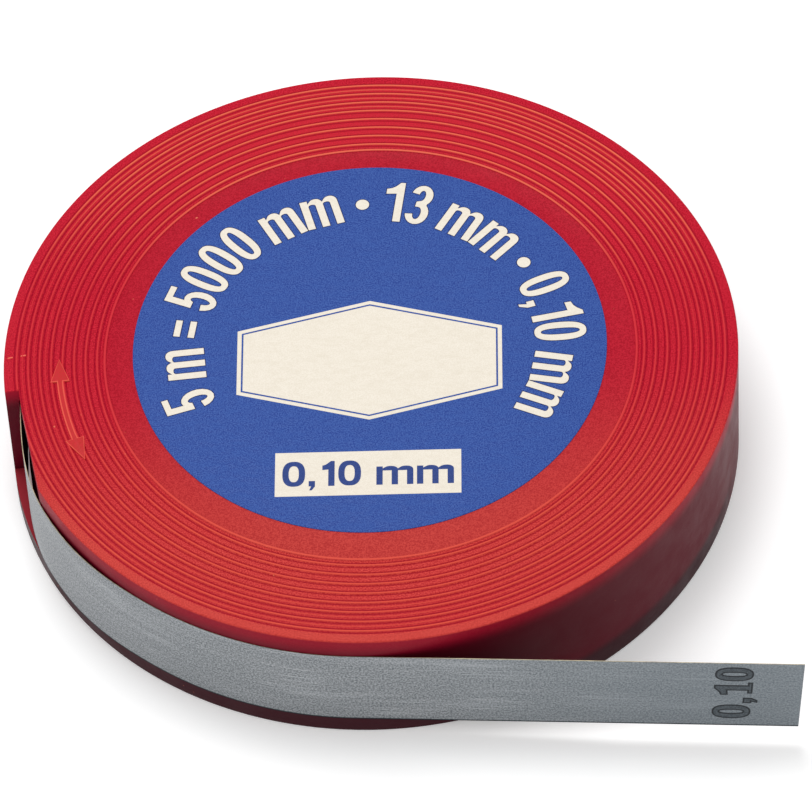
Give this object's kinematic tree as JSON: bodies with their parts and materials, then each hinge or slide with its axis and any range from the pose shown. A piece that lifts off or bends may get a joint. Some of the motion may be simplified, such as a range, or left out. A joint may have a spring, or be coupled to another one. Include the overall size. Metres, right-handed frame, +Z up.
{
  "type": "feeler gauge tape dispenser",
  "caption": "Round flat plastic case that holds a coil of thin steel gauge tape, fed out through a slot in the side wall and led round the outside to a straight free end.",
  "frame": {"origin": "on the case axis, in the plane of the rim that the case stands on", "axes": "+Z up along the case axis, +X along the free end of the tape as it leaves the case"},
  "size_m": [0.1054, 0.0961, 0.019],
  "materials": {
    "case_red": "moulded satin gloss",
    "label": "printed matt paper",
    "gauge_steel": "rolled, fine lengthwise scratches",
    "drum_black": "moulded matt",
    "zinc_steel": "zinc plated"
  },
  "bodies": {
    "case": {"upper_shell": "case_red", "front_label": "label", "tape_wrap": "gauge_steel", "pivot_screw": "zinc_steel", "pivot_washer": "zinc_steel", "spring_washer": "gauge_steel"},
    "core": {"base_disc": "case_red", "winding_drum": "drum_black", "tape_coil": "gauge_steel", "anchor_plate": "zinc_steel", "anchor_rivets": "zinc_steel"},
    "free_end": {"tape_run": "gauge_steel"}
  },
  "joints": [
    {"name": "core_spin", "type": "hinge", "parent": "case", "child": "core", "pos_m": [0, 0, 0], "axis": [0, 0, 1], "range_deg": [0, 150]},
    {"name": "tape_feed", "type": "slide", "parent": "case", "child": "free_end", "axis": [1, 0, 0], "range_m": [0, 0.1206]}
  ],
  "couplings": [
    {"joint": "tape_feed", "follows": "core_spin", "m_per_rad": 0.046}
  ]
}
